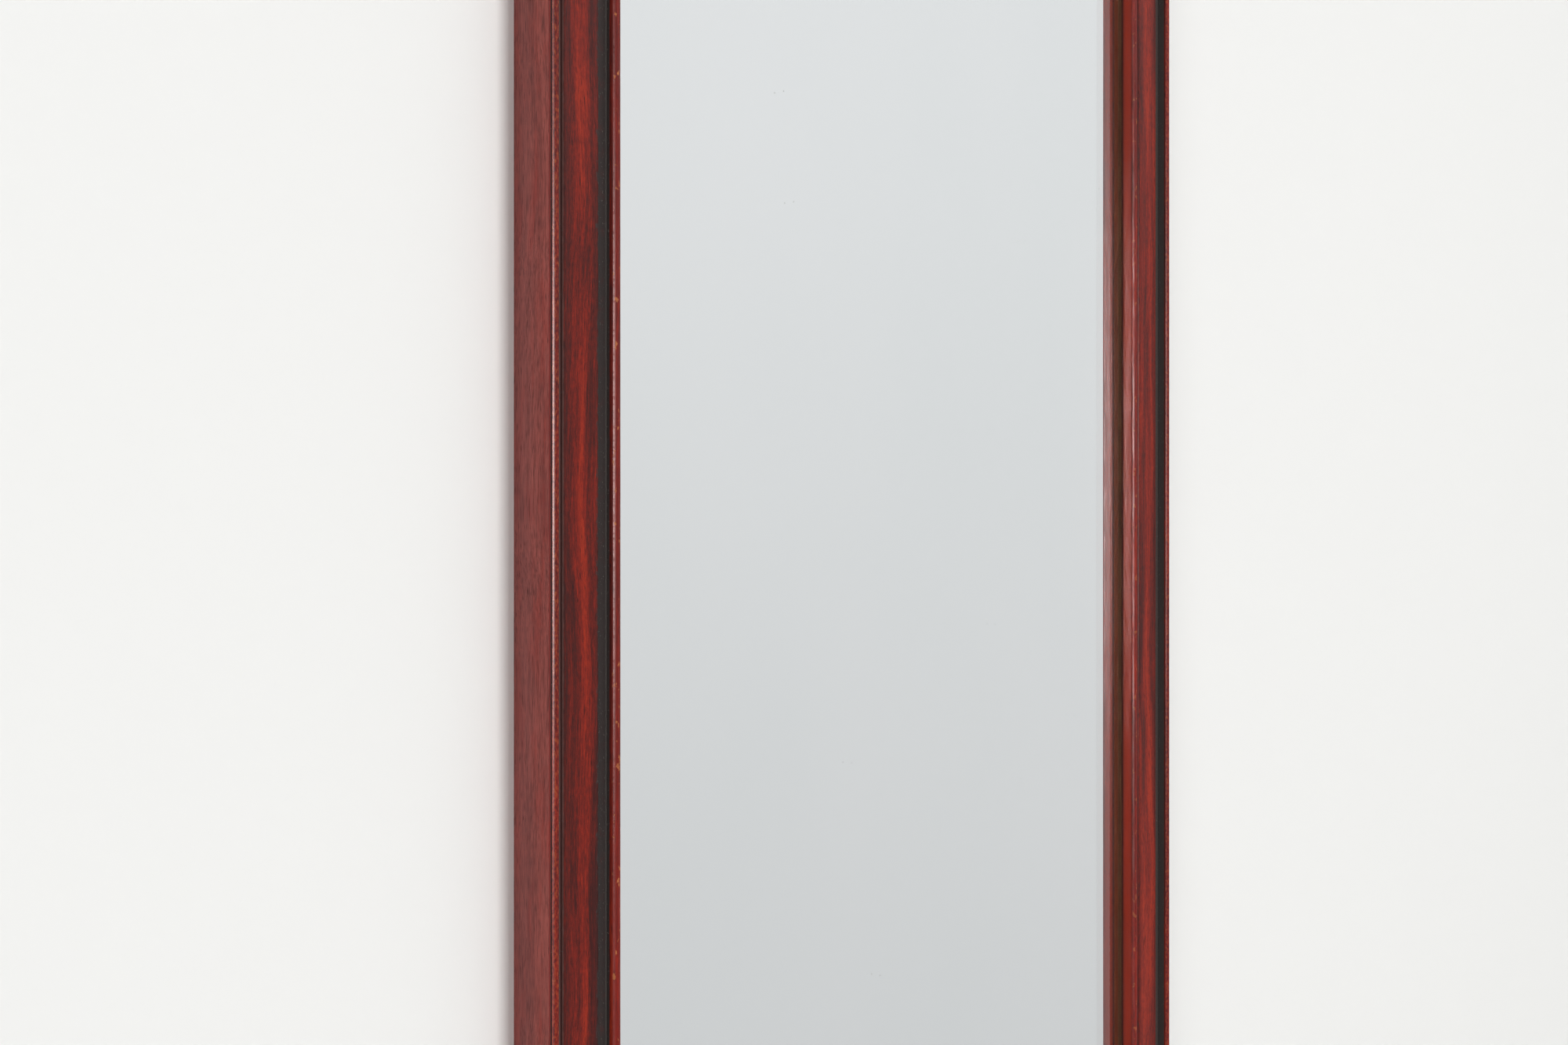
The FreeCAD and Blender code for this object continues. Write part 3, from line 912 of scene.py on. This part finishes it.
def makeBradTree():
    tree, n, get = newTree("bradRow", {
        "Brad": "Object", "Count": "Int", "First": "Vector", "Step": "Vector",
        "Turn": "Float", "Lean": "Float", "Seed": "Int", "Steel": "Material",
    })
    row = n.add("GeometryNodeMeshLine", {}, {
        "Count": get["Count"], "Start Location": get["First"], "Offset": get["Step"],
    })
    brad = n.add("GeometryNodeObjectInfo", {}, {"Object": get["Brad"], "As Instance": True}, "Geometry")
    lean = n.add("FunctionNodeRandomValue", {"data_type": "FLOAT"}, {
        "Min_001": 0.0, "Max_001": get["Lean"], "Seed": get["Seed"],
    }, "Value_001")
    turn = n.add("FunctionNodeEulerToRotation", {}, {"Euler": n.join(0, get["Turn"], lean)})
    pins = n.add("GeometryNodeInstanceOnPoints", {}, {"Points": row, "Instance": brad, "Rotation": turn})
    endTree(n, pins, get["Steel"])
    return tree


def spread(start, end, count):  # first place and step, half a step in from both ends
    step = (end - start) / count
    return start + step / 2, step


def bradRows():
    low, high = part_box("backing_board")
    plateLow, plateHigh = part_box("left_keyhole_plate")
    wallX = high[0] + bradLook["boardGap"]
    wallLow, wallHigh = low[2] - bradLook["boardGap"], high[2] + bradLook["boardGap"]
    y = high[1] + bradLook["head"]
    upper = (plateHigh[2] + high[2]) / 2
    first, step = spread(plateLow[2], low[2], bradLook["stileCount"])
    railFirst, railStep = spread(low[0], high[0], bradLook["railCount"])
    rows = []
    for x, turn in ((-wallX, 0), (wallX, 180)):
        rows.append((1, (x, y, upper), (0, 0, 0), turn))
        rows.append((bradLook["stileCount"], (x, y, first), (0, 0, step), turn))
    for z, turn in ((wallHigh, 90), (wallLow, 270)):
        rows.append((bradLook["railCount"], (railFirst, y, z), (railStep, 0, 0), turn))
    return rows


def makeBrads():
    tree = makeBradTree()
    brad = bradShape()
    together = bmesh.new()
    for seed, (count, first, step, turn) in enumerate(bradRows()):
        mesh = grow(tree, {
            "Brad": brad, "Count": count, "First": first, "Step": step, "Turn": math.radians(turn),
            "Lean": math.radians(bradLook["lean"]), "Seed": seed, "Steel": finishes["brightSteel"],
        })
        together.from_mesh(mesh)
    pins = toMesh("boardPins", together)
    pins.materials.append(finishes["brightSteel"])
    smoothOver(pins, bradLook["smooth"])
    addPiece("boardPins", pins, "steel", "board_pins")
    bpy.data.objects.remove(brad)


makeBrads()
print("brads driven")

plateLook = {
    "bevel": 0.00018,
    "sharp": 40,  # degrees of an edge that is broken
    "smooth": 35,
}


def softened(node, name, slot, finish):  # a CAD piece with its sharp edges broken
    work = cadCopy(node)
    bmesh.ops.dissolve_limit(work, angle_limit=math.radians(1), verts=work.verts, edges=work.edges)
    limit = math.radians(plateLook["sharp"])
    sharp = [edge for edge in work.edges if edge.is_manifold and edge.calc_face_angle() > limit]
    bmesh.ops.bevel(
        work, geom=sharp, offset=plateLook["bevel"], segments=2, profile=0.5, affect="EDGES",
        clamp_overlap=True,
    )
    bmesh.ops.recalc_face_normals(work, faces=work.faces)
    mesh = toMesh(name, work)
    mesh.materials.append(finish)
    smoothOver(mesh, plateLook["smooth"])
    addPiece(name, mesh, slot, node)


for side in ("left", "right"):
    softened(side + "_keyhole_plate", side + "KeyholePlate", "brass", finishes["dullBrass"])

dressed = {
    "left_plate_screws": "dullBrass", "right_plate_screws": "dullBrass",
    "interleaf_sheet": "kraftPaper", "setting_blocks": "fineCork", "edge_packers": "fineCork",
}
dressed |= {name: "brightSteel" for name in nodes if name.startswith("corner_fastener")}
for name, finish in dressed.items():
    for place in nodes[name].material_slots:
        place.material = finishes[finish]
print("hardware dressed")


# studio

studio = {
    "wallHalf": 4.0,
    "wallTop": 2.6,
    "floorDrop": 0.75,  # below the mirror
    "floorHalf": 2.4,
    "floorFade": (0.5, 0.98),  # of floorHalf, where it goes over into the background
    "wallGap": 0.00001,
    "wallOverlap": 0.00008,  # of the frame over the open part of the wall
    "wall": colour(244, 244, 242),
    "floor": colour(214, 214, 212),
    "room": 0.15,  # light of the room
    "screen": 0.765,  # and of the pale screens round it
    "screenTurn": 52,  # the one that gives light, in degrees to the right of the wall's normal
    "screenEdge": (0.45, 0.85),  # cosines between which it fades in
    "screenFoot": 0.89,  # share of the light low down
    "screenRise": 0.22,  # and what is added on the way up
}


def makeWallFinish():
    material, n = newFinish("studioWall")
    paint = n.add("ShaderNodeBsdfDiffuse", {}, {"Color": studio["wall"]})
    clear = n.add("ShaderNodeBsdfTransparent")
    behind = n.add("ShaderNodeNewGeometry", {}, {}, "Backfacing")
    surface(n, n.add("ShaderNodeMixShader", {}, {0: behind, 1: paint, 2: clear}))
    return material


def makeFloorFinish():
    material, n = newFinish("studioFloor")
    x, y, z = n.split(n.add("ShaderNodeTexCoord", {}, {}, "Object"))
    away = n.add("ShaderNodeVectorMath", {"operation": "LENGTH"}, {0: n.join(x, y, 0)}, "Value")
    faded = n.ease(away, *[studio["floorHalf"] * share for share in studio["floorFade"]])
    paint = n.add("ShaderNodeBsdfDiffuse", {}, {"Color": studio["floor"]})
    clear = n.add("ShaderNodeBsdfTransparent")
    surface(n, n.add("ShaderNodeMixShader", {}, {0: faded, 1: paint, 2: clear}))
    return material


def stagePiece(name, corners, faces, material):
    mesh = bpy.data.meshes.new(name)
    mesh.from_pydata(corners, [], faces)
    mesh.materials.append(material)
    putInScene(name, mesh)


def makeStudio():
    low, high = Vector(cadBox[0]), Vector(cadBox[1])
    base = low.z - studio["floorDrop"]
    inset = studio["wallOverlap"]
    wide, y = studio["wallHalf"], studio["wallGap"]
    outer = [(-wide, base), (wide, base), (wide, studio["wallTop"]), (-wide, studio["wallTop"])]
    inner = [(low.x + inset, low.z + inset), (high.x - inset, low.z + inset)]
    inner += [(high.x - inset, high.z - inset), (low.x + inset, high.z - inset)]
    corners = [(x, y, z) for x, z in outer + inner]
    ring = [(i, (i + 1) % 4, (i + 1) % 4 + 4, i + 4) for i in range(4)]
    stagePiece("studioWall", corners, ring, makeWallFinish())
    reach = studio["floorHalf"]
    floor = [(-reach, -reach, base), (reach, -reach, base), (reach, reach, base), (-reach, reach, base)]
    stagePiece("studioFloor", floor, [(0, 1, 2, 3)], makeFloorFinish())


def makeWorld():
    world = bpy.data.worlds.new("studioWorld")
    world.use_nodes = True
    world.node_tree.nodes.clear()
    n = Nodes(world.node_tree)
    x, y, z = n.split(n.add("ShaderNodeTexCoord", {}, {}, "Generated"))
    turn = math.radians(studio["screenTurn"])
    towards = n.ease(x * math.sin(turn) - y * math.cos(turn), *studio["screenEdge"])
    screen = studio["screen"] * (studio["screenFoot"] + n.ease(z, -0.4, 0.4) * studio["screenRise"])
    straight, glossy, through = n.add("ShaderNodeLightPath", {}, {}, (
        "Is Camera Ray", "Is Glossy Ray", "Is Transmission Ray",
    ))
    seen = straight.most(glossy).most(through).most(towards)
    level = studio["room"] + (screen - studio["room"]) * seen
    sky = n.add("ShaderNodeBackground", {}, {"Color": (1, 1, 1, 1), "Strength": level})
    n.add("ShaderNodeOutputWorld", {}, {"Surface": sky})
    bpy.context.scene.world = world


# placed from the mirror's middle; shine False keeps a lamp out of reflections,
# light False keeps its light off matt faces
lamps = {
    "key": {"place": (0.7, -3.4, 0.85), "size": (1.05, 1.2), "power": 62.5, "shine": False},
    "sideSoftbox": {
        "place": (-2.74, -1.22, 0.2), "size": (0.8, 1.2), "power": 15.6, "shine": False, "spread": 140,
    },
    "sideStrip": {
        "place": (-5.94, -5.35, 0.31), "size": (7.2, 2.0), "power": 1000, "light": False,
        "tint": (1, 0.86, 0.83),
    },
    "overhead": {"place": (1.3, -1.6, 2.0), "size": (1.8, 1.0), "power": 60, "light": False},
    "rearFill": {"place": (-1.2, 2.0, 0.9), "size": (1.2, 1.2), "power": 40},
}


def makeLamps():
    middle = Vector((0, 0, middleHeight))
    for name, look in lamps.items():
        data = bpy.data.lights.new(name, "AREA")
        data.shape = "RECTANGLE"
        data.size, data.size_y = look["size"]
        data.energy = look["power"]
        data.color = look.get("tint", (1, 1, 1))
        data.spread = math.radians(look.get("spread", 180))
        lamp = putInScene(name, data)
        lamp.visible_glossy = look.get("shine", True)
        lamp.visible_transmission = look.get("shine", True)  # what the silver shows came through the glass
        lamp.visible_diffuse = look.get("light", True)
        lamp.location = middle + Vector(look["place"])
        lamp.rotation_euler = (-Vector(look["place"])).to_track_quat("-Z", "Y").to_euler()


cameraLook = {  # worked out from the photograph
    "lens": 44.1,
    "sensor": 36,
    "nearest": 0.02,
    "yaw": 49.75,  # between the view and the wall's normal
    "leftOfFrame": 0.3714,
    "beforeGlass": 0.4065,
}


def makeCamera():
    data = bpy.data.cameras.new("camera")
    data.lens = cameraLook["lens"]
    data.sensor_width = cameraLook["sensor"]
    data.clip_start = cameraLook["nearest"]
    camera = putInScene("camera", data)
    x = -frameWidth / 2 - cameraLook["leftOfFrame"]
    camera.location = (x, -glassFront - cameraLook["beforeGlass"], middleHeight)
    camera.rotation_euler = (math.radians(90), 0, -math.radians(cameraLook["yaw"]))
    bpy.context.scene.camera = camera


makeStudio()
makeWorld()
makeLamps()
makeCamera()
bpy.context.scene.view_settings.view_transform = "Standard"
print("studio lit")
